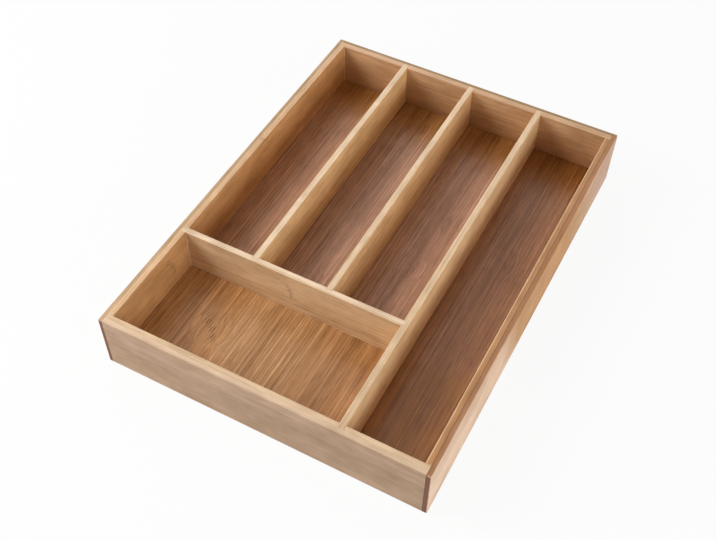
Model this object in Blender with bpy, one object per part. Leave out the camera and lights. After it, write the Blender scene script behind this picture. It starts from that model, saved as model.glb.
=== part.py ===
"""Cutlery box with five compartments, glued up from flat bamboo boards.

Each wall is an outer and an inner ply glued face to face. At the corners the side walls' outer plies run on
as tongues that cover the ends of the front and back walls. The dividers are housed in slots cut from the top
edge, and the floor panel sits in a groove round the inside of the walls.

X runs left to right, Y runs front to back and Z runs up. The origin is under the middle of the box, on the
surface that the box stands on. All lengths are in metres.
"""

import bmesh
import bpy
from mathutils import Vector

# Overall size, over the outside faces
BOX_WIDTH = 0.260
BOX_LENGTH = 0.356
BOX_HEIGHT = 0.050

# Plies of the wall boards
OUTER_PLY_THICKNESS = 0.0035
INNER_PLY_THICKNESS = 0.0042

# Dividers: equal columns side by side, and one wide compartment across the front of the first three
COLUMN_COUNT = 4
DIVIDER_THICKNESS = 0.005
FRONT_COMPARTMENT_DEPTH = 0.0895

# Floor panel, and how high its underside is above the table
FLOOR_THICKNESS = 0.005
FLOOR_RISE = 0.006

# Joinery
JOINT_GAP = 0.0003            # room for glue between any two pieces
GROOVE_DEPTH = 0.0025         # how far the floor panel's groove is cut into a wall
DIVIDER_HOUSING_DEPTH = 0.002  # how far one divider's slot is cut into another divider
CUT_OVERRUN = 0.002           # how far a cutter runs past the open side of its slot

# Eased arrises
OUTER_ARRIS_RADIUS = 0.001
INNER_ARRIS_RADIUS = 0.0006
ARRIS_SEGMENTS = 4
ROUND_PROFILE = 0.5           # bevel profile that gives a quarter circle

# Planes that the boards are set out from, as distances from the middle of the box
WALL_THICKNESS = OUTER_PLY_THICKNESS + JOINT_GAP + INNER_PLY_THICKNESS
OUTSIDE_X = BOX_WIDTH / 2
OUTSIDE_Y = BOX_LENGTH / 2
TONGUE_X = OUTSIDE_X - OUTER_PLY_THICKNESS
TONGUE_Y = OUTSIDE_Y - OUTER_PLY_THICKNESS
GLUED_X = TONGUE_X - JOINT_GAP
GLUED_Y = TONGUE_Y - JOINT_GAP
INSIDE_X = OUTSIDE_X - WALL_THICKNESS
INSIDE_Y = OUTSIDE_Y - WALL_THICKNESS

# Heights above the table
FLOOR_TOP = FLOOR_RISE + FLOOR_THICKNESS
DIVIDER_FOOT = FLOOR_TOP + JOINT_GAP
WALL_HEIGHT_SPAN = (0, BOX_HEIGHT)
DIVIDER_HEIGHT_SPAN = (DIVIDER_FOOT, BOX_HEIGHT)
SLOT_HEIGHT_SPAN = (FLOOR_TOP, BOX_HEIGHT + CUT_OVERRUN)
GROOVE_HEIGHT_SPAN = (FLOOR_RISE - JOINT_GAP, FLOOR_TOP + JOINT_GAP)

# Places of the dividers
ALL_DIVIDERS_THICKNESS = (COLUMN_COUNT - 1) * DIVIDER_THICKNESS
COLUMN_WIDTH = (2 * INSIDE_X - ALL_DIVIDERS_THICKNESS) / COLUMN_COUNT
CROSS_FRONT_Y = FRONT_COMPARTMENT_DEPTH - INSIDE_Y
CROSS_BACK_Y = CROSS_FRONT_Y + DIVIDER_THICKNESS

# Outward directions of a board's faces. Two of them name the arris where their faces meet.
LEFT = Vector((-1, 0, 0))
RIGHT = Vector((1, 0, 0))
FRONT = Vector((0, -1, 0))
BACK = Vector((0, 1, 0))
BOTTOM = Vector((0, 0, -1))
TOP = Vector((0, 0, 1))

# Bamboo tones as linear red, green and blue, from the palest board to the darkest
DIVIDER_TONE = (0.76, 0.55, 0.35)
INNER_PLY_TONE = (0.68, 0.46, 0.27)
OUTER_PLY_TONE = (0.58, 0.39, 0.24)
RIGHT_INNER_PLY_TONE = (0.46, 0.26, 0.13)
RIGHT_OUTER_PLY_TONE = (0.40, 0.22, 0.11)
FLOOR_TONE = (0.34, 0.17, 0.07)
BAMBOO_ROUGHNESS = 0.5


def clear_scene():
    """Remove whatever the scene holds."""
    for item in list(bpy.data.objects):
        bpy.data.objects.remove(item, do_unlink=True)


def bamboo(name, tone):
    """Return a plain satin bamboo material of the given tone."""
    material = bpy.data.materials.new(name)
    material.use_nodes = True
    surface = material.node_tree.nodes["Principled BSDF"]
    surface.inputs["Base Color"].default_value = (*tone, 1)
    surface.inputs["Roughness"].default_value = BAMBOO_ROUGHNESS
    surface.inputs["Metallic"].default_value = 0
    return material


def ease_arrises(mesh, arrises, radius):
    """Round the edges of a block where the named pairs of faces meet."""
    wanted = [{tuple(first), tuple(second)} for first, second in arrises]
    chosen = []
    for edge in mesh.edges:
        meeting = {tuple(round(axis) for axis in face.normal) for face in edge.link_faces}
        if meeting in wanted:
            chosen.append(edge)
    bmesh.ops.bevel(
        mesh,
        geom=chosen,
        offset=radius,
        segments=ARRIS_SEGMENTS,
        profile=ROUND_PROFILE,
        affect="EDGES",
        clamp_overlap=True,
    )


def add_block(name, spans, arrises=(), radius=0):
    """Add a block that fills the X, Y and Z spans, with its origin at its centre."""
    size = Vector([abs(end - start) for start, end in spans])
    centre = Vector([(start + end) / 2 for start, end in spans])
    mesh = bmesh.new()
    bmesh.ops.create_cube(mesh, size=1)
    bmesh.ops.scale(mesh, vec=size, verts=mesh.verts)
    mesh.normal_update()
    if arrises:
        ease_arrises(mesh, arrises, radius)
    data = bpy.data.meshes.new(name)
    mesh.to_mesh(data)
    mesh.free()
    block = bpy.data.objects.new(name, data)
    block.location = centre
    bpy.context.scene.collection.objects.link(block)
    return block


def add_board(box, name, spans, arrises, radius, tone):
    """Add one bamboo board to the box, with a material of its own."""
    board = add_block(name, spans, arrises, radius)
    board.data.materials.append(bamboo(f"{name}_bamboo", tone))
    board.parent = box
    return board


def cut(board, label, spans):
    """Cut a square-cornered slot or groove out of a board."""
    cutter = add_block(f"{board.name}_{label}_cutter", spans)
    cutter.parent = board.parent
    cutter.hide_render = True
    cutter.display_type = "WIRE"
    modifier = board.modifiers.new(label, "BOOLEAN")
    modifier.operation = "DIFFERENCE"
    modifier.solver = "EXACT"
    modifier.object = cutter


def both_ways(distance):
    """Return the span that reaches the same distance to either side of the middle."""
    return (-distance, distance)


def widened(span, margin):
    """Return a span, given low end first, that reaches a margin further at both ends."""
    return (span[0] - margin, span[1] + margin)


def divider_span(index):
    """Return the X span of a divider, counted from 0 at the left."""
    start = COLUMN_WIDTH - INSIDE_X + index * (COLUMN_WIDTH + DIVIDER_THICKNESS)
    return (start, start + DIVIDER_THICKNESS)


def add_end_wall(box, name, side, outward, divider_indices):
    """Add the front wall (side -1) or the back wall (side 1), which fits between the side walls' tongues."""
    length_span = both_ways(GLUED_X)
    outer_spans = (length_span, (side * TONGUE_Y, side * OUTSIDE_Y), WALL_HEIGHT_SPAN)
    outer_arrises = [(outward, TOP), (outward, BOTTOM)]
    add_board(box, f"{name}_outer_ply", outer_spans, outer_arrises, OUTER_ARRIS_RADIUS, OUTER_PLY_TONE)

    inner_spans = (length_span, (side * INSIDE_Y, side * GLUED_Y), WALL_HEIGHT_SPAN)
    inner_arrises = [(-outward, TOP), (-outward, BOTTOM)]
    inner = add_board(box, f"{name}_inner_ply", inner_spans, inner_arrises, INNER_ARRIS_RADIUS, INNER_PLY_TONE)
    inside_start = side * (INSIDE_Y - CUT_OVERRUN)
    groove_end = side * (INSIDE_Y + GROOVE_DEPTH)
    groove_length = widened(length_span, CUT_OVERRUN)
    cut(inner, "floor_groove", (groove_length, (inside_start, groove_end), GROOVE_HEIGHT_SPAN))
    slot_end = side * (GLUED_Y + CUT_OVERRUN)
    for index in divider_indices:
        slot_width = widened(divider_span(index), JOINT_GAP)
        cut(inner, f"divider_slot_{index + 1}", (slot_width, (inside_start, slot_end), SLOT_HEIGHT_SPAN))


def add_side_wall(box, name, side, outward, tones):
    """Add the left wall (side -1) or the right wall (side 1), and return its inner ply."""
    outer_tone, inner_tone = tones
    outer_spans = ((side * TONGUE_X, side * OUTSIDE_X), both_ways(OUTSIDE_Y), WALL_HEIGHT_SPAN)
    outer_arrises = [(outward, other) for other in (TOP, BOTTOM, FRONT, BACK)]
    outer_arrises += [(end, level) for end in (FRONT, BACK) for level in (TOP, BOTTOM)]
    add_board(box, f"{name}_outer_ply", outer_spans, outer_arrises, OUTER_ARRIS_RADIUS, outer_tone)

    length_span = both_ways(INSIDE_Y - JOINT_GAP)
    inner_spans = ((side * INSIDE_X, side * GLUED_X), length_span, WALL_HEIGHT_SPAN)
    inner_arrises = [(-outward, TOP), (-outward, BOTTOM)]
    inner = add_board(box, f"{name}_inner_ply", inner_spans, inner_arrises, INNER_ARRIS_RADIUS, inner_tone)
    inside_start = side * (INSIDE_X - CUT_OVERRUN)
    groove_end = side * (INSIDE_X + GROOVE_DEPTH)
    groove_length = widened(length_span, CUT_OVERRUN)
    cut(inner, "floor_groove", ((inside_start, groove_end), groove_length, GROOVE_HEIGHT_SPAN))
    return inner


def add_walls(box):
    """Add the four walls, slotted for the dividers."""
    long_index = COLUMN_COUNT - 2
    add_end_wall(box, "front", -1, FRONT, [long_index])
    add_end_wall(box, "back", 1, BACK, range(COLUMN_COUNT - 1))
    left_inner = add_side_wall(box, "left", -1, LEFT, (OUTER_PLY_TONE, INNER_PLY_TONE))
    add_side_wall(box, "right", 1, RIGHT, (RIGHT_OUTER_PLY_TONE, RIGHT_INNER_PLY_TONE))
    slot_depth = (-GLUED_X - CUT_OVERRUN, CUT_OVERRUN - INSIDE_X)
    slot_width = widened((CROSS_FRONT_Y, CROSS_BACK_Y), JOINT_GAP)
    cut(left_inner, "cross_slot", (slot_depth, slot_width, SLOT_HEIGHT_SPAN))


def add_floor(box):
    """Add the floor panel, which reaches into the grooves of all four walls."""
    into_groove = GROOVE_DEPTH - JOINT_GAP
    spans = (both_ways(INSIDE_X + into_groove), both_ways(INSIDE_Y + into_groove), (FLOOR_RISE, FLOOR_TOP))
    add_board(box, "floor_panel", spans, (), 0, FLOOR_TONE)


def add_lengthwise_dividers(box):
    """Add the dividers between the columns. The last one, on the right, runs the full length."""
    into_housing = DIVIDER_HOUSING_DEPTH - JOINT_GAP
    arrises = [(LEFT, TOP), (RIGHT, TOP)]
    short_length = (CROSS_BACK_Y - into_housing, GLUED_Y)
    for index, name in enumerate(("left_divider", "middle_divider")):
        spans = (divider_span(index), short_length, DIVIDER_HEIGHT_SPAN)
        add_board(box, name, spans, arrises, INNER_ARRIS_RADIUS, DIVIDER_TONE)

    long_span = divider_span(COLUMN_COUNT - 2)
    spans = (long_span, both_ways(GLUED_Y), DIVIDER_HEIGHT_SPAN)
    long_divider = add_board(box, "long_divider", spans, arrises, INNER_ARRIS_RADIUS, DIVIDER_TONE)
    slot_depth = (long_span[0] - CUT_OVERRUN, long_span[0] + DIVIDER_HOUSING_DEPTH)
    slot_width = widened((CROSS_FRONT_Y, CROSS_BACK_Y), JOINT_GAP)
    cut(long_divider, "cross_housing", (slot_depth, slot_width, SLOT_HEIGHT_SPAN))


def add_cross_divider(box):
    """Add the divider behind the front compartment, housed in the left wall and in the long divider."""
    long_face = divider_span(COLUMN_COUNT - 2)[0]
    length_span = (-GLUED_X, long_face + DIVIDER_HOUSING_DEPTH - JOINT_GAP)
    spans = (length_span, (CROSS_FRONT_Y, CROSS_BACK_Y), DIVIDER_HEIGHT_SPAN)
    arrises = [(FRONT, TOP), (BACK, TOP)]
    cross = add_board(box, "cross_divider", spans, arrises, INNER_ARRIS_RADIUS, DIVIDER_TONE)
    slot_depth = (CROSS_BACK_Y - DIVIDER_HOUSING_DEPTH, CROSS_BACK_Y + CUT_OVERRUN)
    for index in range(COLUMN_COUNT - 2):
        slot_width = widened(divider_span(index), JOINT_GAP)
        cut(cross, f"divider_housing_{index + 1}", (slot_width, slot_depth, SLOT_HEIGHT_SPAN))


def build_cutlery_box():
    """Build the whole box under one empty."""
    clear_scene()
    box = bpy.data.objects.new("cutlery_box", None)
    bpy.context.scene.collection.objects.link(box)
    add_walls(box)
    add_floor(box)
    add_lengthwise_dividers(box)
    add_cross_divider(box)
    bpy.context.view_layer.update()


build_cutlery_box()
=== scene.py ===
"""The looks of a bamboo cutlery box: its finishes, glue, table, light and camera.

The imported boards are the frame. They stay where they are and get a bamboo finish each. The thin
films of glue in their joints and the beads wiped into the inner corners are modelled here.
"""

import logging
import math
from dataclasses import dataclass
from enum import Enum

import bpy
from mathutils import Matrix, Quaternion, Vector


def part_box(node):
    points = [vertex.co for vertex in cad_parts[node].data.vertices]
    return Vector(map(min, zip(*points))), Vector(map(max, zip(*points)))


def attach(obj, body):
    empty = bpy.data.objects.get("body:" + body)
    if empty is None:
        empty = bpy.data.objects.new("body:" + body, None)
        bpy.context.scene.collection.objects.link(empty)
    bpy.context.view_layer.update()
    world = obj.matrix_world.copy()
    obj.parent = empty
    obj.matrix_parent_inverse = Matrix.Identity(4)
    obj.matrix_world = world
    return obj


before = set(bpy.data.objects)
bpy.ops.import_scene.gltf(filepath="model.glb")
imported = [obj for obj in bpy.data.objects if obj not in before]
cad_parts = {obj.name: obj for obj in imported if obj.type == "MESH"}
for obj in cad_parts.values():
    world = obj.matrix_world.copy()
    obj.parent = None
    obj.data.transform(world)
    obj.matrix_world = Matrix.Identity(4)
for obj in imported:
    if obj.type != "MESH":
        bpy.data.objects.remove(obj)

log = logging.getLogger("cutlery_box")

Socket = bpy.types.NodeSocket
Piece = bpy.types.Object

MM = 0.001
MM_PER_METRE = 1000.0
BODY = "root"

# The curve of sRGB: a straight toe, and above it a power.
SRGB_TOE = 0.04045
SRGB_TOE_SLOPE = 12.92
SRGB_OFFSET = 0.055
SRGB_POWER = 2.4

# The numbers of a Mix node's colour sockets, which share their names with its other sockets.
MIX_FIRST = 6
MIX_SECOND = 7
MIX_RESULT = 2

# Makes a Map Range node a smooth step. Its inputs are the value, where the step starts and ends,
# and what it gives before and after.
SMOOTH = {"interpolation_type": "SMOOTHSTEP"}
# Noise and chance run from 0 to 1, about this middle.
NOISE_MIDDLE = 0.5


def linear(hex_colour: str) -> tuple[float, ...]:
    """Turn an sRGB hex colour into linear light.

    Args:
        hex_colour: A hash and six hex digits, such as "#D8B48A".

    Returns:
        Linear red, green and blue, and an alpha of 1.
    """
    colour = []
    for start in (1, 3, 5):
        share = int(hex_colour[start : start + 2], 16) / 255
        if share <= SRGB_TOE:
            colour.append(share / SRGB_TOE_SLOPE)
        else:
            colour.append(((share + SRGB_OFFSET) / (1 + SRGB_OFFSET)) ** SRGB_POWER)
    return (*colour, 1.0)


class Wiring:
    """A node tree that is being wired.

    Attributes:
        tree: The node tree.
    """

    tree: bpy.types.NodeTree

    def start(self, owner: bpy.types.Material | bpy.types.World) -> None:
        """Start with an empty node tree.

        Args:
            owner: The material or the world whose tree it is.
        """
        owner.use_nodes = True
        self.tree = owner.node_tree
        self.tree.nodes.clear()

    def add(
        self, kind: str, *values: object, inputs: dict | None = None, **settings: object
    ) -> bpy.types.NodeOutputs:
        """Add a node with its settings, its values and its links.

        Args:
            kind: The node's type, without the leading "ShaderNode".
            *values: For the first inputs, in order, a socket to link or a value to hold.
            inputs: The same for other inputs, by their name or number.
            **settings: The node's own settings.

        Returns:
            The node's outputs.
        """
        node = self.tree.nodes.new(kind if kind.startswith("NodeGroup") else "ShaderNode" + kind)
        for name, setting in settings.items():
            setattr(node, name, setting)
        for key, value in {**dict(enumerate(values)), **(inputs or {})}.items():
            if isinstance(value, Socket):
                self.tree.links.new(value, node.inputs[key])
            else:
                node.inputs[key].default_value = value
        return node.outputs


def direction(azimuth: float, elevation: float) -> Vector:
    """Return the way to a place round the box.

    Args:
        azimuth: The angle round the box, in degrees: 0 in front, 90 to the right.
        elevation: The height above the table, in degrees.

    Returns:
        A vector of length 1 from the box towards that place.
    """
    turn, height = math.radians(azimuth), math.radians(elevation)
    level = math.cos(height)
    return Vector((math.sin(turn) * level, -math.cos(turn) * level, math.sin(height)))


class Lie(Enum):
    """How a board lies: the axes that run across its grain, through it and along its grain."""

    UPRIGHT_ALONG_X = ("Z", "Y", "X")
    UPRIGHT_ALONG_Y = ("Z", "X", "Y")
    FLAT_ALONG_Y = ("X", "Z", "Y")


class Run(Enum):
    """Which way a board's colour changes: the axis of the turned place.

    A change across or along a board shows on its sides, and one through it on its top edge.
    """

    ACROSS = 0
    THROUGH = 1
    ALONG = 2


class Tint(Enum):
    """What multiplies a board's colour, in linear red, green and blue."""

    DARK_FIBRE = (0.66, 0.56, 0.44)
    # Pale fibres, and the painted highlight beside the knuckles' strokes.
    PALE_FIBRE_AND_HIGHLIGHT = (1.30, 1.42, 1.62)
    STRIP_SEAM = (0.74, 0.66, 0.56)
    KNUCKLE = (0.36, 0.27, 0.20)
    # Painted shade that darkens a board towards the floor.
    PAINTED_FOOT_SHADE = (0.72, 0.64, 0.56)
    TONE_SWING = (1.0, 1.18, 1.45)


@dataclass(frozen=True)
class Knuckle:
    """The mark that a culm's node leaves in a strip: a row of short strokes across the grain.

    Attributes:
        along_share: Its place along the board, as a share of the board's length.
        across_share: Its place across the board, as a share of the board's width.
        half_width: Half its size across the grain, in mm.
        half_length: Half the length of its strokes, in mm.
        strength: How dark it is, up to 1.
        slant: How far the row runs along the grain for each mm across.
    """

    along_share: float
    across_share: float
    half_width: float = 9.0
    half_length: float = 3.0
    strength: float = 0.6
    slant: float = 0.3


@dataclass(frozen=True)
class Zones:
    """How a board's colour changes over its length, its width or its thickness: its own tone, and
    on some boards painted highlight and painted shade as well.

    Attributes:
        run: Which way the zones follow each other.
        stops: Places, as shares of the board's size, and the tint that multiplies its colour.
        slant: How far a zone along the board shifts for each mm across it.
    """

    run: Run
    stops: tuple[tuple[float, str], ...]
    slant: float = 0.0


@dataclass(frozen=True)
class GrainLayer:
    """One scale of the grain: noise drawn out along the fibres.

    Attributes:
        width: Size across the grain, in mm.
        length: Size along the grain, in mm.
        detail: Octaves of finer noise in it.
    """

    width: float
    length: float
    detail: float = 1.0


@dataclass(frozen=True)
class Bamboo:
    """Laminated bamboo, sanded and lacquered satin.

    Long strips of split culm are pressed side by side. Each strip shows straight fibres a
    fraction of a millimetre wide, slow streaks, its own tone and a knuckle now and then.

    Attributes:
        name: What the finish is called in the material's name.
        end: The colour of the cut ends of the fibres.
        strip_width: Width of a pressed strip, in mm.
        fleck: Contrast of the short fine fibres.
        fibre: Contrast of the long fine fibres.
        streak: Contrast of the streaks.
        band: Contrast of the broad bands.
        cloud: Contrast of the soft clouds.
        strip: Difference in tone between strips.
        vein: Share of the dark colour in the thin dark fibres.
        line: Share of the pale colour in the thin pale fibres.
        roughness: Roughness of the lacquer.
        gloss: Specular level of the lacquer.
    """

    name: str
    end: str
    strip_width: float = 20.0
    fleck: float = 0.22
    fibre: float = 0.26
    streak: float = 0.14
    band: float = 0.10
    cloud: float = 0.30
    strip: float = 0.05
    vein: float = 0.28
    line: float = 0.25
    roughness: float = 0.36
    gloss: float = 0.5


# Pale bamboo of the dividers and inner plies: creamy, with quiet straight grain.
PALE_BAMBOO = Bamboo("sanded_pale_bamboo", end="#B98F62")
# Bamboo of the outer plies: planed drier, so less glossy, with faint level streaks.
DRY_BAMBOO = Bamboo(
    "sanded_dry_bamboo",
    end="#85593F",
    fleck=0.16,
    fibre=0.18,
    streak=0.12,
    vein=0.20,
    line=0.15,
    roughness=0.5,
    gloss=0.2,
)
# Heat-darkened bamboo of the floor: golden brown, with strong streaks and knuckles.
DARK_BAMBOO = Bamboo(
    "sanded_carbonised_bamboo",
    end="#8A5A30",
    fleck=0.32,
    fibre=0.62,
    streak=0.11,
    band=0.12,
    cloud=0.28,
    strip=0.08,
    vein=0.27,
    line=0.75,
    roughness=0.28,
    gloss=0.28,
)


class KnuckleGroup(Wiring):
    """The node group that draws one knuckle, shared by all boards.

    Its output holds how dark a place is, how pale the painted highlight beside each stroke makes
    it, and how far the grain is pushed aside.

    Attributes:
        given: The group's inputs.
        across: The place across the grain, in mm from the knuckle's middle.
        along: The place along the grain, in mm from the knuckle's middle.
        share: The place across the grain, in half widths.
    """

    NAME = "culm_node_mark"
    # The group's inputs that a Knuckle's fields of the same name fill.
    SIZES = ("half_width", "half_length", "slant", "strength")
    PITCH = 2.1
    BEND = 0.8
    BEND_CENTRE = 0.35
    EDGE_START = 0.4
    STAGGER = 1.0
    FAINTEST = 0.55
    RAGGED_SPAN = (0.35, 0.6)
    RAGGED_REACH = 0.8
    TIP_START = 0.35
    # For each stripe of a stroke: its middle, and how far from it the stripe ends and is full.
    DARK_PHASE = (0.30, 0.38, 0.14)
    # The pale stripe is a painted highlight on the raised side of each stroke.
    PAINTED_HIGHLIGHT_PHASE = (0.80, 0.28, 0.10)
    SWIRL_WIDTHS = 1.8
    SWIRL_LENGTHS = 5.0
    SWIRL_REACH = 2.2

    def __init__(self) -> None:
        """Make the group's inputs, outputs and nodes."""
        self.tree = bpy.data.node_groups.new(self.NAME, "ShaderNodeTree")
        sockets = self.tree.interface
        sockets.new_socket("place", in_out="INPUT", socket_type="NodeSocketVector")
        for name in ("ragged", *self.SIZES):
            sockets.new_socket(name, in_out="INPUT", socket_type="NodeSocketFloat")
        sockets.new_socket("mark", in_out="OUTPUT", socket_type="NodeSocketVector")
        self.given = self.add("NodeGroupInput")
        self.across, _, self.along = self.add("SeparateXYZ", self.given["place"])
        self.share = self.add("Math", self.across, self.given["half_width"], operation="DIVIDE")[0]
        self._wire()

    def _wire(self) -> None:
        """Draw the row of strokes and the swirl round it."""
        square = self.add("Math", self.share, self.share, operation="MULTIPLY")[0]
        window = self.add("MapRange", square, self.EDGE_START, 1.0, 1.0, 0.0, **SMOOTH)[0]
        strength = self.add("Math", window, self.given["strength"], operation="MULTIPLY")[0]
        stroke = self.add("Math", self.across, self.PITCH, operation="DIVIDE")[0]
        number = self.add("Math", stroke, operation="FLOOR")[0]
        phase = self.add("Math", stroke, number, operation="SUBTRACT")[0]
        length = self._length(square, number)
        drawn = self.add("Math", strength, length, operation="MULTIPLY")[0]
        dark = self._stripe(drawn, phase, self.DARK_PHASE)
        # Painted highlight beside each dark stroke.
        pale = self._stripe(drawn, phase, self.PAINTED_HIGHLIGHT_PHASE)
        mark = self.add("CombineXYZ", dark, pale, self._swirl())[0]
        self.add("NodeGroupOutput", mark)

    def _length(self, square: Socket, number: Socket) -> Socket:
        """Return how strong the strokes are here: they stagger along a slanted, shallow arc.

        Args:
            square: The square of the place across, in half widths.
            number: The stroke's number.

        Returns:
            The socket of the window along the grain.
        """
        half, ragged = self.given["half_length"], self.given["ragged"]
        chance = self.add("TexWhiteNoise", inputs={"W": number}, noise_dimensions="1D")["Value"]
        stagger = self.add("Math", chance, NOISE_MIDDLE, operation="SUBTRACT")[0]
        bow = self.add("Math", square, self.BEND_CENTRE, operation="SUBTRACT")[0]
        bow = self.add("Math", bow, self.BEND, operation="MULTIPLY")[0]
        moved = self.add("Math", stagger, self.STAGGER, bow, operation="MULTIPLY_ADD")[0]
        uneven = self.add("Math", ragged, NOISE_MIDDLE, operation="SUBTRACT")[0]
        moved = self.add("Math", uneven, self.RAGGED_REACH, moved, operation="MULTIPLY_ADD")[0]
        slant = self.given["slant"]
        slanted = self.add("Math", self.across, slant, self.along, operation="MULTIPLY_ADD")[0]
        arc = self.add("Math", moved, half, slanted, operation="MULTIPLY_ADD")[0]
        off = self.add("Math", arc, operation="ABSOLUTE")[0]
        off = self.add("Math", off, half, operation="DIVIDE")[0]
        depth = self.add("MapRange", ragged, *self.RAGGED_SPAN, self.FAINTEST, 1.0, **SMOOTH)[0]
        window = self.add("MapRange", off, self.TIP_START, 1.0, 1.0, 0.0, **SMOOTH)[0]
        return self.add("Math", depth, window, operation="MULTIPLY")[0]

    def _stripe(self, drawn: Socket, phase: Socket, shape: tuple[float, ...]) -> Socket:
        """Return a soft stripe within each stroke's pitch.

        Args:
            drawn: How strong the stroke is here.
            phase: The place within the pitch, 0 to 1.
            shape: The stripe's middle, and how far from it the stripe ends and is full.

        Returns:
            The stripe's socket.
        """
        middle, end, full = shape
        off = self.add("Math", phase, middle, operation="SUBTRACT")[0]
        off = self.add("Math", off, operation="ABSOLUTE")[0]
        stripe = self.add("MapRange", off, full, end, 1.0, 0.0, **SMOOTH)[0]
        return self.add("Math", drawn, stripe, operation="MULTIPLY")[0]

    def _swirl(self) -> Socket:
        """Return how far the grain is pushed aside, in mm.

        Returns:
            The push's socket.
        """
        wide = self.add("Math", self.share, self.SWIRL_WIDTHS, operation="DIVIDE")[0]
        long = self.add("Math", self.along, self.given["half_length"], operation="DIVIDE")[0]
        long = self.add("Math", long, self.SWIRL_LENGTHS, operation="DIVIDE")[0]
        long = self.add("Math", long, long, operation="MULTIPLY")[0]
        far = self.add("Math", wide, wide, long, operation="MULTIPLY_ADD")[0]
        near = self.add("MapRange", far, 0.0, 1.0, 1.0, 0.0, **SMOOTH)[0]
        near = self.add("Math", near, self.given["strength"], operation="MULTIPLY")[0]
        push = self.add("Math", near, self.share, operation="MULTIPLY")[0]
        return self.add("Math", push, -self.SWIRL_REACH, operation="MULTIPLY")[0]


@dataclass(frozen=True)
class Board:
    """A packed board and what dresses it.

    Attributes:
        node: The board's name in the frame.
        lie: How it lies.
        finish: The bamboo that it is made of.
        face: The usual colour of its sides.
        edge: The usual colour of its top edge.
        marks: Its knuckles.
        zones: How its tone changes over the board; on some boards they also paint highlight and
            shade.
        foot: How much painted shade darkens it towards the floor, up to 1.
    """

    node: str
    lie: Lie
    finish: Bamboo
    face: str
    edge: str
    marks: tuple[Knuckle, ...] = ()
    zones: tuple[Zones, ...] = ()
    foot: float = 0.0


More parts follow.
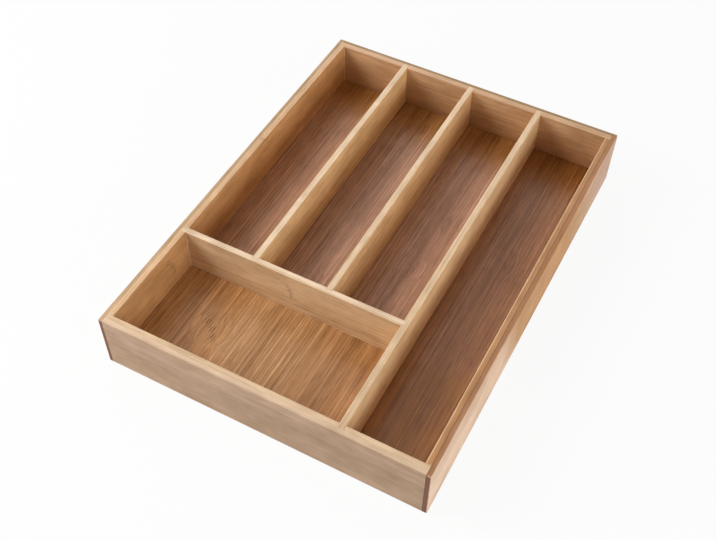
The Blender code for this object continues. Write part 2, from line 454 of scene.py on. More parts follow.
@dataclass
class BambooSkin(Wiring):
    """Makes the material of one board.

    While it does, place is the place in mm: across the grain, through the board and along it.

    Attributes:
        board: The board that it dresses.
        knuckles: The node group that draws a knuckle.
        shift: How far the pattern is moved, in mm, so that no two boards look alike.
    """

    board: Board
    knuckles: KnuckleGroup
    shift: Vector

    # The finest real fibres are 0.3 mm wide. They are drawn about three times as wide, since
    # finer ones would vanish between the picture's points.
    FLECK = GrainLayer(0.9, 14.0)
    FIBRE = GrainLayer(1.0, 160.0)
    STREAK = GrainLayer(2.6, 200.0, 2.0)
    BAND = GrainLayer(9.0, 260.0)
    CLOUD = GrainLayer(18.0, 28.0, 2.0)
    WANDER = GrainLayer(40.0, 180.0)
    WANDER_REACH = 2.0
    VEIN = GrainLayer(1.3, 120.0)
    LINE = GrainLayer(1.25, 120.0)
    MARK_RAGGED = GrainLayer(1.6, 4.0)
    WAVE = GrainLayer(7.0, 60.0, 2.0)
    NOISE_ROUGHNESS = 0.6
    CREST_SPAN = (0.57, 0.65)
    PLAIN_STRIP_SPAN = (0.3, 0.6)
    PLAIN_STRIP_SHARE = 0.35
    FOOT_HEIGHT = 50.0
    HALF_STRIP = 0.5
    SEAM_WIDTH = 0.35
    SEAM_SHARE = 0.35
    # How squarely a face looks along an axis where it starts to count as an edge or an end.
    EDGE_SPAN = (0.75, 0.95)
    END_CELL = 0.7
    END_CORE_SPAN = (0.15, 0.45)
    END_CORE_SHARE = 0.6
    FIBRE_RELIEF = 0.03
    WAVE_RELIEF = 0.10
    CLEAR_LACQUER_IOR = 1.5
    STREAK_SPAN = (0.35, 0.65)
    ROUGHNESS_SWING = 0.10

    def make(self) -> bpy.types.Material:
        """Make the material.

        Returns:
            The material, with its nodes wired.
        """
        finish = self.board.finish
        material = bpy.data.materials.new(f"{finish.name}_{self.board.node}")
        self.start(material)
        self.place = self._turned()
        dark, pale, push = self._marks()
        still = self._wandering()
        grain = self._pushed(still, push)
        count = self._strip_count()
        number = self.add("Math", count, operation="FLOOR")[0]
        strip = self.add("TexWhiteNoise", inputs={"W": number}, noise_dimensions="1D")["Value"]
        streak = self._noise(grain, self.STREAK)
        colour = self._toned(self._ground(), self._tone(grain, strip, streak))
        vein, line = (
            self.add(
                "MapRange", self._noise(grain, layer), *self.CREST_SPAN, 0.0, share, **SMOOTH
            )[0]
            for layer, share in ((self.VEIN, finish.vein), (self.LINE, finish.line))
        )
        span, share = self.PLAIN_STRIP_SPAN, self.PLAIN_STRIP_SHARE
        plain = self.add("MapRange", strip, *span, share, 1.0, **SMOOTH)[0]
        line = self.add("Math", line, plain, operation="MULTIPLY")[0]
        for share, tint in (
            (vein, Tint.DARK_FIBRE),
            (line, Tint.PALE_FIBRE_AND_HIGHLIGHT),
            (self._seams(count), Tint.STRIP_SEAM),
            (dark, Tint.KNUCKLE),
            # The knuckles' pale strokes: a painted highlight.
            (pale, Tint.PALE_FIBRE_AND_HIGHLIGHT),
        ):
            colour = self._tinted(colour, share, tint)
        self._surface(self._ends(colour), streak, dark, self._relief(still))
        return material

    def _turned(self) -> Socket:
        """Return the place in mm, turned to the board.

        Returns:
            The socket of the place across the grain, through the board and along the grain.
        """
        parts = self.add("SeparateXYZ", self.add("TexCoord")["Object"])
        turned = self.add("CombineXYZ", *(parts[axis] for axis in self.board.lie.value))[0]
        scale = {"Scale": MM_PER_METRE}
        return self.add("VectorMath", turned, inputs=scale, operation="SCALE")[0]

    def _extent(self, run: Run) -> tuple[float, float]:
        """Return where the board starts and how large it is.

        Args:
            run: The axis of the turned place.

        Returns:
            The start and the size along that axis, in mm.
        """
        axis = "XYZ".index(self.board.lie.value[run.value])
        low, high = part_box(self.board.node)
        return low[axis] * MM_PER_METRE, (high[axis] - low[axis]) * MM_PER_METRE

    def _noise(self, place: Socket, layer: GrainLayer) -> Socket:
        """Return one layer of grain noise, about 0.5 on average.

        Args:
            place: The place in mm.
            layer: The size of the noise.

        Returns:
            The noise's socket.
        """
        scale = (1 / layer.width, 1 / layer.width, 1 / layer.length)
        stretched = self.add("Mapping", inputs={"Vector": place, "Scale": scale})[0]
        amounts = {"Scale": 1.0, "Detail": layer.detail, "Roughness": self.NOISE_ROUGHNESS}
        return self.add(
            "TexNoise", inputs={"Vector": stretched, **amounts}, noise_dimensions="3D"
        )["Fac"]

    def _wandering(self) -> Socket:
        """Return the place with the grain's slow wander and the board's own shift.

        Returns:
            The socket of the shifted place.
        """
        moved = self.add("VectorMath", self.place, tuple(self.shift), operation="ADD")[0]
        wander = self._noise(moved, self.WANDER)
        reach = self.add("Math", wander, self.WANDER_REACH, operation="MULTIPLY")[0]
        return self._pushed(moved, reach)

    def _pushed(self, place: Socket, push: Socket | None) -> Socket:
        """Return a place pushed aside, across the grain and into the board alike.

        Args:
            place: The place in mm.
            push: How far it is pushed, in mm, or None where nothing pushes it.

        Returns:
            The socket of the pushed place.
        """
        if push is None:
            return place
        aside = self.add("CombineXYZ", push, push)[0]
        return self.add("VectorMath", place, aside, operation="ADD")[0]

    def _strip_count(self) -> Socket:
        """Return how many strip widths a place lies across the board.

        Returns:
            The count's socket.
        """
        across = self.add("SeparateXYZ", self.place)["X"]
        share = 1 / self.board.finish.strip_width
        return self.add("Math", across, share, self.shift.x * share, operation="MULTIPLY_ADD")[0]

    def _tone(self, grain: Socket, strip: Socket, streak: Socket) -> Socket:
        """Add up the scales of the grain.

        Args:
            grain: The wandering place in mm.
            strip: The number that differs from strip to strip.
            streak: The layer of streaks.

        Returns:
            The tone, 0 on average, where more is paler.
        """
        finish = self.board.finish
        tone = 0.0
        for layer, amount in (
            (self._noise(grain, self.FLECK), finish.fleck),
            (self._noise(grain, self.FIBRE), finish.fibre),
            (streak, finish.streak),
            (self._noise(grain, self.BAND), finish.band),
            (self._noise(grain, self.CLOUD), finish.cloud),
            (strip, finish.strip),
        ):
            level = self.add("Math", layer, NOISE_MIDDLE, operation="SUBTRACT")[0]
            swing = amount / NOISE_MIDDLE
            tone = self.add("Math", level, swing, tone, operation="MULTIPLY_ADD")[0]
        return tone

    def _ground(self) -> Socket:
        """Return the board's colour without its grain, which differs on sides and top edge, with
        painted shade towards the floor on some boards.

        Returns:
            The colour's socket.
        """
        edge = 0.0
        if self.board.lie is not Lie.FLAT_ALONG_Y:
            up = self.add("SeparateXYZ", self.add("NewGeometry")["Normal"])["Z"]
            edge = self.add("MapRange", up, *self.EDGE_SPAN, 0.0, 1.0, **SMOOTH)[0]
        colours = [linear(self.board.face), linear(self.board.edge)]
        for zones in self.board.zones:
            number = int(zones.run is Run.THROUGH)
            both = {MIX_FIRST: colours[number], MIX_SECOND: self._zone_tint(zones)}
            colours[number] = self.add(
                "Mix", 1.0, inputs=both, data_type="RGBA", blend_type="MULTIPLY"
            )[MIX_RESULT]
        both = dict(zip((MIX_FIRST, MIX_SECOND), colours))
        mixed = self.add("Mix", edge, inputs=both, data_type="RGBA")[MIX_RESULT]
        if not self.board.foot:
            return mixed
        # Painted shade: the board's colour darkens towards the floor.
        height = self.add("SeparateXYZ", self.place)["X"]
        span = (0.0, self.FOOT_HEIGHT, self.board.foot, 0.0)
        return self._tinted(mixed, self.add("MapRange", height, *span, **SMOOTH)[0], Tint.PAINTED_FOOT_SHADE)

    def _zone_tint(self, zones: Zones) -> Socket:
        """Return the tint of the zone that the place lies in.

        Args:
            zones: The zones.

        Returns:
            The tint's socket.
        """
        start, size = self._extent(zones.run)
        parts = self.add("SeparateXYZ", self.place)
        run = parts[zones.run.value]
        at = self.add("Math", parts["X"], zones.slant, run, operation="MULTIPLY_ADD")[0]
        share = self.add("Math", at, 1 / size, -start / size, operation="MULTIPLY_ADD")[0]
        ramp = self.add("ValToRGB", share)[0]
        stops = ramp.node.color_ramp.elements
        ready = len(stops)
        for number, (position, tint) in enumerate(zones.stops):
            stop = stops[number] if number < ready else stops.new(position)
            stop.position = position
            stop.color = linear(tint)
        return ramp

    def _toned(self, colour: Socket, tone: Socket) -> Socket:
        """Return the colour made paler or darker by a tone, more in blue than in red.

        Args:
            colour: The board's colour.
            tone: The tone, 0 on average.

        Returns:
            The toned colour's socket.
        """
        swing = self.add(
            "VectorMath", Tint.TONE_SWING.value, inputs={"Scale": tone}, operation="SCALE"
        )[0]
        return self.add("VectorMath", colour, swing, colour, operation="MULTIPLY_ADD")[0]

    def _tinted(self, colour: Socket, share: Socket | None, tint: Tint) -> Socket:
        """Mix a tinted colour in.

        Args:
            colour: The colour so far.
            share: The share of the tinted colour, or None where there is nothing to tint.
            tint: What multiplies the colour.

        Returns:
            The mixed colour's socket.
        """
        if share is None:
            return colour
        other = self.add("VectorMath", colour, tint.value, operation="MULTIPLY")[0]
        both = {MIX_FIRST: colour, MIX_SECOND: other}
        return self.add("Mix", share, inputs=both, data_type="RGBA")[MIX_RESULT]

    def _seams(self, count: Socket) -> Socket:
        """Return the share of seam colour, which is above 0 between the pressed strips only.

        Args:
            count: How many strip widths the place lies across the board.

        Returns:
            The share's socket.
        """
        nearest = self.add("Math", count, self.HALF_STRIP, operation="PINGPONG")[0]
        width = self.SEAM_WIDTH / self.board.finish.strip_width
        return self.add("MapRange", nearest, 0.0, width, self.SEAM_SHARE, 0.0, **SMOOTH)[0]

    def _marks(self) -> tuple[Socket | None, ...]:
        """Draw the board's knuckles.

        Returns:
            The shares of dark strokes and of the painted highlight beside them, and the push aside
            in mm, or None three times for a board without knuckles.
        """
        if not self.board.marks:
            return None, None, None
        across, width = self._extent(Run.ACROSS)
        along, length = self._extent(Run.ALONG)
        ragged = self._noise(self.place, self.MARK_RAGGED)
        total = None
        for mark in self.board.marks:
            centre = (across + width * mark.across_share, 0.0, along + length * mark.along_share)
            centred = self.add("VectorMath", self.place, centre, operation="SUBTRACT")[0]
            sizes = {name: getattr(mark, name) for name in KnuckleGroup.SIZES}
            drawn = self.add(
                "Group", centred, ragged, inputs=sizes, node_tree=self.knuckles.tree
            )[0]
            if total is not None:
                drawn = self.add("VectorMath", total, drawn, operation="ADD")[0]
            total = drawn
        return tuple(self.add("SeparateXYZ", total))

    def _ends(self, colour: Socket) -> Socket:
        """Show cut fibres on the board's ends.

        Args:
            colour: The colour of the sides.

        Returns:
            The colour with its end grain.
        """
        normal = self.add("SeparateXYZ", self.add("NewGeometry")["Normal"])
        facing = self.add("Math", normal[self.board.lie.value[2]], operation="ABSOLUTE")[0]
        end = self.add("MapRange", facing, *self.EDGE_SPAN, 0.0, 1.0, **SMOOTH)[0]
        scale = (1 / self.END_CELL, 1 / self.END_CELL, 0.0)
        cells = self.add("Mapping", inputs={"Vector": self.place, "Scale": scale})[0]
        dots = self.add("TexVoronoi", inputs={"Vector": cells, "Scale": 1.0}, feature="F1")
        span, share = self.END_CORE_SPAN, self.END_CORE_SHARE
        bundle = self.add("MapRange", dots["Distance"], *span, share, 0.0, **SMOOTH)[0]
        ground = self.add("RGB")[0]
        ground.default_value = linear(self.board.finish.end)
        both = {MIX_FIRST: colour, MIX_SECOND: self._tinted(ground, bundle, Tint.DARK_FIBRE)}
        return self.add("Mix", end, inputs=both, data_type="RGBA")[MIX_RESULT]

    def _relief(self, grain: Socket) -> Socket:
        """Add up the surface's tiny relief.

        Args:
            grain: The wandering place in mm.

        Returns:
            The height in mm.
        """
        wave, fibre = self._noise(grain, self.WAVE), self._noise(grain, self.FIBRE)
        height = self.add("Math", wave, self.WAVE_RELIEF, operation="MULTIPLY")[0]
        return self.add("Math", fibre, self.FIBRE_RELIEF, height, operation="MULTIPLY_ADD")[0]

    def _surface(
        self, colour: Socket, streak: Socket, dark: Socket | None, height: Socket
    ) -> None:
        """Wire the lacquered surface.

        Args:
            colour: The board's colour.
            streak: The layer of streaks, which varies the gloss.
            dark: Where the knuckles' dark fibres are, if any.
            height: The relief in mm.
        """
        finish, swing = self.board.finish, self.ROUGHNESS_SWING
        levels = (finish.roughness + swing / 2, finish.roughness - swing / 2)
        rough = self.add("MapRange", streak, *self.STREAK_SPAN, *levels, **SMOOTH)[0]
        if dark is not None:
            rough = self.add("Math", dark, swing, rough, operation="MULTIPLY_ADD")[0]
        bump = self.add("Bump", inputs={"Strength": 1.0, "Distance": MM, "Height": height})[0]
        surface = self.add(
            "BsdfPrincipled",
            inputs={
                "Base Color": colour,
                "Roughness": rough,
                "IOR": self.CLEAR_LACQUER_IOR,
                "Specular IOR Level": finish.gloss,
                "Normal": bump,
            },
        )[0]
        self.add("OutputMaterial", surface)


@dataclass
class Boards:
    """A sub-assembly of packed boards, which keep their shape and get their finish.

    Attributes:
        name: What the boards make together.
        boards: The boards.
        knuckles: The node group that draws a knuckle.
        shift_step: How far each next board's pattern is moved, in mm.
    """

    name: str
    boards: tuple[Board, ...]
    knuckles: KnuckleGroup
    shift_step: tuple[float, float, float] = (7.37, 31.7, 211.0)

    def dress(self, first: int) -> int:
        """Give each board its own material.

        Args:
            first: The number of boards dressed before, which sets the patterns apart.

        Returns:
            The number of boards dressed so far.
        """
        for number, board in enumerate(self.boards, first + 1):
            material = BambooSkin(board, self.knuckles, Vector(self.shift_step) * number).make()
            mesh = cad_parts[board.node].data
            mesh.materials.clear()
            mesh.materials.append(material)
            log.info("%s: %s dressed", self.name, board.node)
        return first + len(self.boards)


@dataclass(frozen=True)
class WoodGlue:
    """Dried wood glue, sanded flush and lacquered over: a dull tan line, darker where starved.

    Attributes:
        name: The finish's name.
        thick: The colour of a full film.
        thin: The colour of a starved film.
        patch: The size of the patches, in mm.
        detail: Octaves of finer noise in the patches.
        roughness: Its roughness.
        relief: Depth of its pits, in mm.
    """

    name: str
    thick: str
    thin: str
    patch: float = 6.0
    detail: float = 3.0
    roughness: float = 0.45
    relief: float = 0.03

    PATCH_SPAN = (0.35, 0.65)

    def make(self) -> bpy.types.Material:
        """Make the material.

        Returns:
            The material, with its nodes wired.
        """
        material = bpy.data.materials.new(self.name)
        nodes = Wiring()
        nodes.start(material)
        at = nodes.add("TexCoord")["Object"]
        amounts = {"Vector": at, "Scale": MM_PER_METRE / self.patch, "Detail": self.detail}
        noise = nodes.add("TexNoise", inputs=amounts, noise_dimensions="3D")["Fac"]
        patchy = nodes.add("MapRange", noise, *self.PATCH_SPAN)[0]
        both = {MIX_FIRST: linear(self.thin), MIX_SECOND: linear(self.thick)}
        colour = nodes.add("Mix", patchy, inputs=both, data_type="RGBA")[MIX_RESULT]
        pits = {"Strength": 1.0, "Distance": self.relief * MM, "Height": noise}
        bump = nodes.add("Bump", inputs=pits)[0]
        looks = {"Base Color": colour, "Roughness": self.roughness, "Normal": bump}
        nodes.add("OutputMaterial", nodes.add("BsdfPrincipled", inputs=looks)[0])
        return material


# Squeezed tight and sanded: nearly the colour of the pale wood on both sides.
TIGHT_GLUE = WoodGlue("sanded_wood_glue_tight", thick="#E6CBA8", thin="#D9B88F")
# A fuller joint that took up lacquer and dust: a brown line.
FULL_GLUE = WoodGlue("sanded_wood_glue_full", thick="#5A3518", thin="#3A200E", roughness=0.7)
# Squeezed out in the inner corners and wiped: a thin, pale, smooth bead.
WIPED_GLUE = WoodGlue("wiped_wood_glue_bead", thick="#E6C79F", thin="#D2AC80", roughness=0.3)


def gap(one: str, other: str, axis: int) -> tuple[float, float]:
    """Return where the gap between two boards starts and ends.

    Args:
        one: The name of a board.
        other: The name of the other board.
        axis: The number of the axis across the gap.

    Returns:
        The gap's two ends on that axis, in metres.
    """
    lower, upper = sorted((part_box(one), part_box(other)), key=lambda box: box[0][axis])
    return lower[1][axis], upper[0][axis]


def spanned(board: str, spans: dict[int, tuple[float, float]]) -> tuple[Vector, Vector]:
    """Return a board's box with other ends on some axes.

    Args:
        board: The board's name.
        spans: For the number of an axis, the two ends on it, in metres and in any order.

    Returns:
        The lowest and the highest corner.
    """
    low, high = (corner.copy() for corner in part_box(board))
    for axis, ends in spans.items():
        low[axis], high[axis] = sorted(ends)
    return low, high


@dataclass
class GlueLines:
    """The films of glue in the joints between the boards, and the beads in the inner corners.

    Attributes:
        clearance: Space between the glue and the wood beside it, in metres.
        recess: How far a film stays below the surface around it, in metres.
        cut_length: Length of film between two cuts, in metres.
        fewest_cuts: The number of cuts in a short film.
        unevenness: How far the film's edge wanders, in metres.
        wave_rates: How fast the two waves of a film's edge turn from corner to corner.
        foot_recess: How far the film under a divider stays back, in metres.
        bead_radius: Radius of the bead squeezed out in a corner, in metres.
        bead_sides: Number of sides of the full round that a bead is cut from.
        bead_top: How far a bead ends below the boards' upper edge, in metres.
    """

    clearance: float = 0.005 * MM
    recess: float = 0.03 * MM
    cut_length: float = 6 * MM
    fewest_cuts: int = 2
    unevenness: float = 0.02 * MM
    wave_rates: tuple[float, float] = (2.4, 0.7)
    foot_recess: float = 0.25 * MM
    bead_radius: float = 0.5 * MM
    bead_sides: int = 24
    bead_top: float = 1.2 * MM

    WALL_SLOT = "wall_inner_bamboo"
    DIVIDER_SLOT = "divider_bamboo"

    def build(self) -> None:
        """Model every film and bead, dress it and let it ride on the box."""
        tight, full, wiped = TIGHT_GLUE.make(), FULL_GLUE.make(), WIPED_GLUE.make()
        for slot, usual, made in (
            (self.WALL_SLOT, tight, [*self._wall_seams(), *self._corner_seams()]),
            (self.WALL_SLOT, wiped, self._beads()),
            (self.DIVIDER_SLOT, tight, [*self._housings(), *self._feet()]),
        ):
            for film in made:
                film.data.materials.append(full if film.name.startswith("right_wall") else usual)
                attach(film, BODY)
                log.info("glue lines: %s", film.name)

    def _wall_seams(self) -> list[Piece]:
        """Model the films between the outer and the inner ply of each wall.

        Returns:
            The films.
        """
        films = []
        for side, axis in (("left", 0), ("right", 0), ("front", 1), ("back", 1)):
            outer, inner = f"{side}_outer_ply", f"{side}_inner_ply"
            corners = spanned(outer, {axis: gap(outer, inner, axis)})
            films.append(self._film(f"{side}_wall_glue_line", *corners, 1 - axis))
        return films

    def _corner_seams(self) -> list[Piece]:
        """Model the films between the inner plies where they meet in the corners.

        Returns:
            The films.
        """
        films = []
        for end in ("front", "back"):
            for side in ("left", "right"):
                ply = f"{side}_inner_ply"
                corners = spanned(ply, {1: gap(ply, f"{end}_inner_ply", 1)})
                films.append(self._film(f"{end}_{side}_corner_glue_line", *corners, 2))
        return films

    def _housings(self) -> list[Piece]:
        """Model the films beside and behind each divider's end, where it is let in.

        Returns:
            The films.
        """
        return [
            self._housing(divider, carrier, axis, sign)
            for divider, carrier, axis, sign in (
                ("left_divider", "back_inner_ply", 1, 1),
                ("middle_divider", "back_inner_ply", 1, 1),
                ("long_divider", "back_inner_ply", 1, 1),
                ("long_divider", "front_inner_ply", 1, -1),
                ("cross_divider", "left_inner_ply", 0, -1),
                ("left_divider", "cross_divider", 1, -1),
                ("middle_divider", "cross_divider", 1, -1),
                ("cross_divider", "long_divider", 0, 1),
            )
        ]

    def _housing(self, divider: str, carrier: str, axis: int, sign: int) -> Piece:
        """Model the film round one divider's end.

        Args:
            divider: The divider that is let in.
            carrier: The board that it is let into.
            axis: The number of the axis along the divider.
            sign: 1 where the divider's end is at the higher side, and -1 at the lower.

        Returns:
            The film's object.
        """
        start, end = gap("left_outer_ply", "left_inner_ply", 0)
        thickness, side = end - start, 1 - axis
        low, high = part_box(divider)
        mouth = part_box(carrier)[sign < 0][axis]
        tip = (low, high)[sign > 0][axis]
        behind = tip + thickness * sign
        # Where the carrier is a divider, a third sheet closes the film behind the end.
        closed = not carrier.endswith("ply")
        reach = (mouth, behind if closed else tip)
        spans = [
            {side: (low[side], low[side] - thickness), axis: reach},
            {side: (high[side], high[side] + thickness), axis: reach},
        ]
        if closed:
            spans.append({axis: (tip, behind)})
        bpy.ops.object.select_all(action="DESELECT")
        sheets = [self._film("sheet", *spanned(divider, span), 2) for span in spans]
        for sheet in sheets:
            sheet.select_set(True)
        bpy.context.view_layer.objects.active = sheets[0]
        bpy.ops.object.join()
        return self._settled(f"{divider}_in_{carrier}_glue_line")

    def _feet(self) -> list[Piece]:
        """Model the films between the dividers and the floor.

        Returns:
            The films.
        """
        films = []
        for divider, axis, first, last in (
            ("left_divider", 1, "cross_divider", "back_inner_ply"),
            ("middle_divider", 1, "cross_divider", "back_inner_ply"),
            ("long_divider", 1, "front_inner_ply", "back_inner_ply"),
            ("cross_divider", 0, "left_inner_ply", "long_divider"),
        ):
            side = 1 - axis
            low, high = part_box(divider)
            spans = {
                2: gap("floor_panel", divider, 2),
                axis: gap(first, last, axis),
                side: (low[side] + self.foot_recess, high[side] - self.foot_recess),
            }
            corners = spanned(divider, spans)
            films.append(self._film(f"{divider}_foot_glue_line", *corners, axis))
        return films

    def _beads(self) -> list[Piece]:
        """Model the beads in the upright inner corners, from the floor to near the top edge.

        Returns:
            The beads.
        """
        floor_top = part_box("floor_panel")[1].z
        beads = []
        for name, side, into_x, end, into_y in (
            ("back_left", "left_inner_ply", 1, "back_inner_ply", -1),
            ("back_right", "right_inner_ply", -1, "back_inner_ply", -1),
            ("front_left", "left_inner_ply", 1, "front_inner_ply", 1),
            ("front_right", "right_inner_ply", -1, "front_inner_ply", 1),
            ("cross_left", "left_inner_ply", 1, "cross_divider", -1),
        ):
            x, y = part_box(side)[into_x > 0].x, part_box(end)[into_y > 0].y
            corner = Vector((x, y, floor_top))
            beads.append(self._bead(f"{name}_corner_glue_bead", corner, into_x, into_y))
        return beads

    def _bead(self, name: str, corner: Vector, into_x: int, into_y: int) -> Piece:
        """Model one bead: a round bar cut down to the quarter that fits the corner.

        Args:
            name: The bead's name.
            corner: The corner's lower end, in metres.
            into_x: 1 where the room lies at higher X, and -1 at lower.
            into_y: 1 where the room lies at higher Y, and -1 at lower.

        Returns:
            The bead's object.
        """
        low = corner.z + self.clearance
        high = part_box("back_inner_ply")[1].z - self.bead_top
        bpy.ops.object.select_all(action="DESELECT")
        bpy.ops.mesh.primitive_cylinder_add(
            vertices=self.bead_sides,
            radius=self.bead_radius,
            depth=high - low,
            location=(corner.x, corner.y, (low + high) / 2),
        )
        bead = self._settled(name)
        bpy.ops.object.mode_set(mode="EDIT")
        for into in (Vector((into_x, 0, 0)), Vector((0, into_y, 0))):
            bpy.ops.mesh.select_all(action="SELECT")
            bpy.ops.mesh.bisect(
                plane_co=corner + into * self.clearance,
                plane_no=into,
                use_fill=True,
                clear_inner=True,
            )
        bpy.ops.mesh.select_all(action="SELECT")
        bpy.ops.mesh.normals_make_consistent(inside=False)
        bpy.ops.object.mode_set(mode="OBJECT")
        return bead

    def _settled(self, name: str) -> Piece:
        """Name the active piece and put its place and size into its mesh.

        Args:
            name: The piece's name.

        Returns:
            The piece, at the origin, unturned and unscaled.
        """
        piece = bpy.context.active_object
        piece.name = name
        piece.data.name = name
        bpy.ops.object.transform_apply(location=True, rotation=True, scale=True)
        return piece

    def _film(self, name: str, low: Vector, high: Vector, length_axis: int) -> Piece:
        """Model one film from a block: cut along its length and left with an uneven edge.

        Args:
            name: The film's name.
            low: The joint's lowest corner, in metres.
            high: The joint's highest corner, in metres.
            length_axis: The number of the axis along the film.

        Returns:
            The film's object.
        """
        size = high - low
        thin_axis = min(range(3), key=lambda i: size[i])
        inset = Vector([self.recess + self.unevenness] * 3)
        inset[thin_axis] = self.clearance
        low, high = low + inset, high - inset
        bpy.ops.object.select_all(action="DESELECT")
        bpy.ops.mesh.primitive_cube_add(size=1, location=(low + high) / 2, scale=high - low)
        film = self._settled(name)
        # Only the edges along the film are cut.
        bpy.ops.object.mode_set(mode="EDIT")
        bpy.ops.mesh.select_mode(type="EDGE")
        bpy.ops.mesh.select_all(action="DESELECT")
        bpy.ops.object.mode_set(mode="OBJECT")
        for edge in film.data.edges:
            first, second = (film.data.vertices[i].co for i in edge.vertices)
            edge.select = abs((first - second)[length_axis]) > self.clearance
        bpy.ops.object.mode_set(mode="EDIT")
        cuts = round((high - low)[length_axis] / self.cut_length)
        bpy.ops.mesh.subdivide(number_cuts=max(self.fewest_cuts, cuts))
        bpy.ops.mesh.select_mode(type="VERT")
        bpy.ops.object.mode_set(mode="OBJECT")
        uneven_axis = 3 - thin_axis - length_axis
        for number, vertex in enumerate(film.data.vertices):
            wave = math.prod(math.sin(number * rate) for rate in self.wave_rates)
            vertex.co[uneven_axis] += wave * self.unevenness
        film.data.update()
        return film


@dataclass(frozen=True)
class SoftBox:
    """A large soft lamp that faces the box.

    Attributes:
        name: The lamp's name.
        azimuth: Where it stands round the box, in degrees: 0 in front, 90 to the right.
        elevation: How high it stands, in degrees.
        distance: How far it stands, in metres.
        size: The length of its sides, in metres.
        level: The share of full light that it brings to a level surface.
    """

    name: str
    azimuth: float
    elevation: float
    distance: float
    size: float
    level: float

    def build(self) -> None:
        """Make the lamp, with the power that brings its level to the box."""
        towards = direction(self.azimuth, self.elevation)
        data = bpy.data.lights.new(self.name, "AREA")
        data.shape = "SQUARE"
        data.size = self.size
        data.energy = self.level * math.pi**2 * self.distance**2 / towards.z
        lamp = bpy.data.objects.new(self.name, data)
        lamp.location = towards * self.distance
        lamp.rotation_mode = "QUATERNION"
        lamp.rotation_quaternion = (-towards).to_track_quat("-Z", "Y")
        bpy.context.scene.collection.objects.link(lamp)


@dataclass
class Studio(Wiring):
    """The pale table, the light and the camera.

    Attributes:
        lamps: The soft lamps.
        dome_level: How bright the white surroundings are, up to 1.
        floor_side: The length of the table's sides, in metres.
        floor_colour: The colour of the table's card.
        white: The colour of the surroundings and the backdrop.
        shadow_share: How much of the box's shadow the camera sees on the table, up to 1.
        lens: The camera's focal length, in mm.
        sensor: The width of the camera's picture, in mm.
        azimuth: Where the camera stands round the box, in degrees.
        elevation: How high it stands, in degrees.
        roll: How far it is turned about its view, in degrees.
        distance: How far it stands from what it looks at, in metres.
        aim: The place that it looks at, in metres.
    """

    lamps: tuple[SoftBox, ...]
    dome_level: float = 0.24
    floor_side: float = 8.0
    floor_colour: str = "#E8E8E6"
    white: str = "#FFFFFF"
    shadow_share: float = 0.08
    lens: float = 52.02
    sensor: float = 36.0
    azimuth: float = 27.465
    elevation: float = 50.712
    roll: float = 0.832
    distance: float = 0.7576
    aim: tuple[float, float, float] = (0.0097, -0.0508, 0.050)

    def build(self) -> None:
        """Make the table, the world, the lamps and the camera."""
        self._table()
        self._world()
        for lamp in self.lamps:
            lamp.build()
            log.info("studio: %s", lamp.name)
        self._camera()
        bpy.context.scene.view_settings.view_transform = "Standard"

    def _straight_view(self) -> Socket:
        """Tell the rays from the camera, from a mirror or through glass from the others.

        Returns:
            The socket that is 1 for those rays, and 0 for the others.
        """
        path = self.add("LightPath")
        seen = path["Is Camera Ray"]
        for ray in ("Is Glossy Ray", "Is Transmission Ray"):
            seen = self.add("Math", seen, path[ray], operation="MAXIMUM")[0]
        return seen

    def _table(self) -> None:
        """Make the table top: pale matt card that shows white and keeps the box's soft shadow."""
        bpy.ops.object.select_all(action="DESELECT")
        bpy.ops.mesh.primitive_plane_add(size=self.floor_side)
        table = bpy.context.active_object
        table.name = "studio_table"
        material = bpy.data.materials.new("matt_white_card")
        self.start(material)
        card = self.add("BsdfDiffuse", linear(self.floor_colour))[0]
        glow = self.add("Emission", linear(self.white), 1.0)[0]
        seen = self.add("MixShader", self.shadow_share, glow, card)[0]
        both = self.add("MixShader", self._straight_view(), card, seen)[0]
        self.add("OutputMaterial", both)
        table.data.materials.append(material)
        log.info("studio: table")

    def _world(self) -> None:
        """Make the even white surroundings that light the box from all sides."""
        world = bpy.data.worlds.new("white_studio")
        bpy.context.scene.world = world
        self.start(world)
        light, backdrop = (
            self.add("Background", linear(self.white), level)[0] for level in (self.dome_level, 1.0)
        )
        both = self.add("MixShader", self._straight_view(), light, backdrop)[0]
        self.add("OutputWorld", both)

    def _camera(self) -> None:
        """Set the camera where the photograph was taken from."""
        back = direction(self.azimuth, self.elevation)
        data = bpy.data.cameras.new("camera")
        data.lens = self.lens
        data.sensor_width = self.sensor
        data.dof.use_dof = False
        camera = bpy.data.objects.new("camera", data)
        camera.location = Vector(self.aim) + back * self.distance
        camera.rotation_mode = "QUATERNION"
        turn = Quaternion((0.0, 0.0, 1.0), math.radians(self.roll))
        camera.rotation_quaternion = (-back).to_track_quat("-Z", "Y") @ turn
        bpy.context.scene.collection.objects.link(camera)
        bpy.context.scene.camera = camera
        log.info("studio: camera")


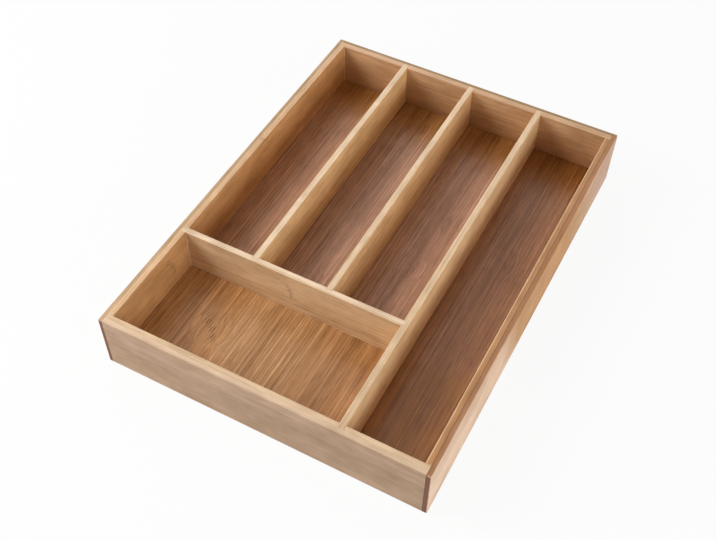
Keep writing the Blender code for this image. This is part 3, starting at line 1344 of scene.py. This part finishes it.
def walls(knuckles: KnuckleGroup) -> Boards:
    """Describe the eight plies of the four walls.

    Args:
        knuckles: The node group that draws a knuckle.

    Returns:
        The walls' boards.
    """
    along_x, along_y = Lie.UPRIGHT_ALONG_X, Lie.UPRIGHT_ALONG_Y
    front_marks = (
        Knuckle(0.377, 0.66, 5.0, 2.5, 0.45),
        Knuckle(0.777, 0.77, 7.0, 2.5, 0.3),
        Knuckle(0.544, 0.50, 8.0, 2.0, 0.2),
    )
    back_marks = (Knuckle(0.31, 0.4), Knuckle(0.82, 0.7))
    left_outer_marks = (Knuckle(0.22, 0.6), Knuckle(0.71, 0.35))
    left_marks = (Knuckle(0.1965, 0.65, 12.0, 3.0, 1.0), Knuckle(0.609, 0.9, 6.0, 2.5, 0.5))
    right_marks = (Knuckle(0.548, 0.6, 8.0, 3.0, 0.4), Knuckle(0.281, 0.34, 5.0, 2.5, 0.25))
    right_tints = (
        (0.0, "#FFFFFF"),
        (0.36, "#FEF9F1"),
        (0.45, "#D9BA84"),
        (0.72, "#D8B479"),
        (0.84, "#DBC5A8"),
        (0.92, "#E5D7CF"),
    )
    right_zones = (Zones(Run.ALONG, right_tints, slant=0.35),)
    # Painted highlight along the inner arris of the right inner ply's top edge: its inner share
    # keeps the pale edge colour, the rest is darkened.
    painted_arris_highlight = (Zones(Run.THROUGH, ((0.16, "#FFFFFF"), (0.28, "#D6B99B"))),)
    dry, pale = DRY_BAMBOO, PALE_BAMBOO
    boards = (
        Board("front_outer_ply", along_x, dry, "#BE9D80", "#D5B697", front_marks),
        Board("front_inner_ply", along_x, pale, "#D6B48E", "#D6B48F"),
        Board("back_outer_ply", along_x, dry, "#C09F82", "#A58560", back_marks),
        # The back and left inner plies get painted shade towards the floor.
        Board("back_inner_ply", along_x, pale, "#C19870", "#CDA27A", foot=0.9),
        Board("left_outer_ply", along_y, dry, "#C09F82", "#C3A07C", left_outer_marks),
        Board("left_inner_ply", along_y, pale, "#CA9A67", "#D4AA7F", left_marks, foot=0.7),
        Board("right_outer_ply", along_y, dry, "#E1C0A4", "#AE7D59", right_marks, right_zones),
        Board("right_inner_ply", along_y, pale, "#D0A275", "#D9B284", zones=painted_arris_highlight),
    )
    return Boards("walls", boards, knuckles)


def bottom(knuckles: KnuckleGroup) -> Boards:
    """Describe the floor panel.

    Args:
        knuckles: The node group that draws a knuckle.

    Returns:
        The floor's only board.
    """
    marks = (
        Knuckle(0.136, 0.198, 10.0, 4.0, 1.0, 0.6),
        Knuckle(0.096, 0.291, 8.0, 2.5, 0.3),
        Knuckle(0.776, 0.033, 8.0, 3.5, 0.5),
        Knuckle(0.921, 0.361, 9.0, 2.5, 0.6),
        Knuckle(0.642, 0.2725, 8.0, 3.0, 0.4),
        Knuckle(0.369, 0.361, 8.0, 2.5, 0.6),
        Knuckle(0.779, 0.528, 8.0, 3.0, 0.6),
        Knuckle(0.660, 0.669, 8.0, 3.0, 0.4),
        Knuckle(0.500, 0.617, 9.0, 3.0, 0.5),
        Knuckle(0.609, 0.864, 11.0, 4.0, 0.6),
        Knuckle(0.796, 0.794, 7.0, 3.0, 0.4),
        Knuckle(0.332, 0.919, 8.0, 3.0, 0.4),
    )
    across = (
        (0.24, "#FFFFF4"),
        (0.26, "#F9FEFF"),
        (0.49, "#F9FEFF"),
        (0.51, "#F0F1ED"),
        (0.74, "#F0F1ED"),
        (0.76, "#D8CCAF"),
    )
    # Along the floor: a more golden front compartment, and painted shade towards the back wall from
    # 0.84 on.
    along = ((0.26, "#FAF4CE"), (0.30, "#FFFFFF"), (0.84, "#FFFFFF"), (0.95, "#E7D99D"))
    zones = (Zones(Run.ACROSS, across), Zones(Run.ALONG, along))
    brown = "#BB8A6B"
    panel = Board("floor_panel", Lie.FLAT_ALONG_Y, DARK_BAMBOO, brown, brown, marks, zones)
    return Boards("bottom", (panel,), knuckles)


def dividers(knuckles: KnuckleGroup) -> Boards:
    """Describe the four dividers.

    Args:
        knuckles: The node group that draws a knuckle.

    Returns:
        The dividers' boards.
    """
    along_x, along_y = Lie.UPRIGHT_ALONG_X, Lie.UPRIGHT_ALONG_Y
    left_marks = (Knuckle(0.271, 0.9, 5.0, 2.5, 0.4), Knuckle(0.7725, 0.9, 5.0, 2.5, 0.4))
    middle_marks = (Knuckle(0.216, 0.74, 7.0, 2.5, 0.4),)
    long_marks = (Knuckle(0.213, 0.21, 7.0, 2.5, 0.6), Knuckle(0.629, 0.845, 6.0, 2.5, 0.5))
    cross_marks = (Knuckle(0.502, 0.56, 9.0, 2.2, 1.0, 0.1),)
    boards = (
        Board("left_divider", along_y, PALE_BAMBOO, "#E1B984", "#DEC09D", left_marks),
        Board("middle_divider", along_y, PALE_BAMBOO, "#D4AC7C", "#D9B994", middle_marks),
        Board("long_divider", along_y, PALE_BAMBOO, "#ECC898", "#DDBB95", long_marks),
        Board("cross_divider", along_x, PALE_BAMBOO, "#D9B78E", "#E1C3A1", cross_marks),
    )
    return Boards("dividers", boards, knuckles)


def main() -> None:
    """Dress the boards, model the glue lines and set up the studio."""
    logging.basicConfig(level=logging.INFO, format="%(message)s")
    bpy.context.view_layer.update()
    knuckles = KnuckleGroup()
    dressed = 0
    for group in (walls(knuckles), bottom(knuckles), dividers(knuckles)):
        dressed = group.dress(dressed)
    GlueLines().build()
    Studio(
        (
            SoftBox("key_softbox", -62.0, 37.0, 1.5, 0.85, 0.52),
            SoftBox("right_softbox", 80.0, 16.0, 2.2, 0.95, 0.14),
            SoftBox("back_softbox", 215.0, 44.0, 2.6, 2.4, 0.15),
        )
    ).build()


if __name__ == "__main__":
    main()
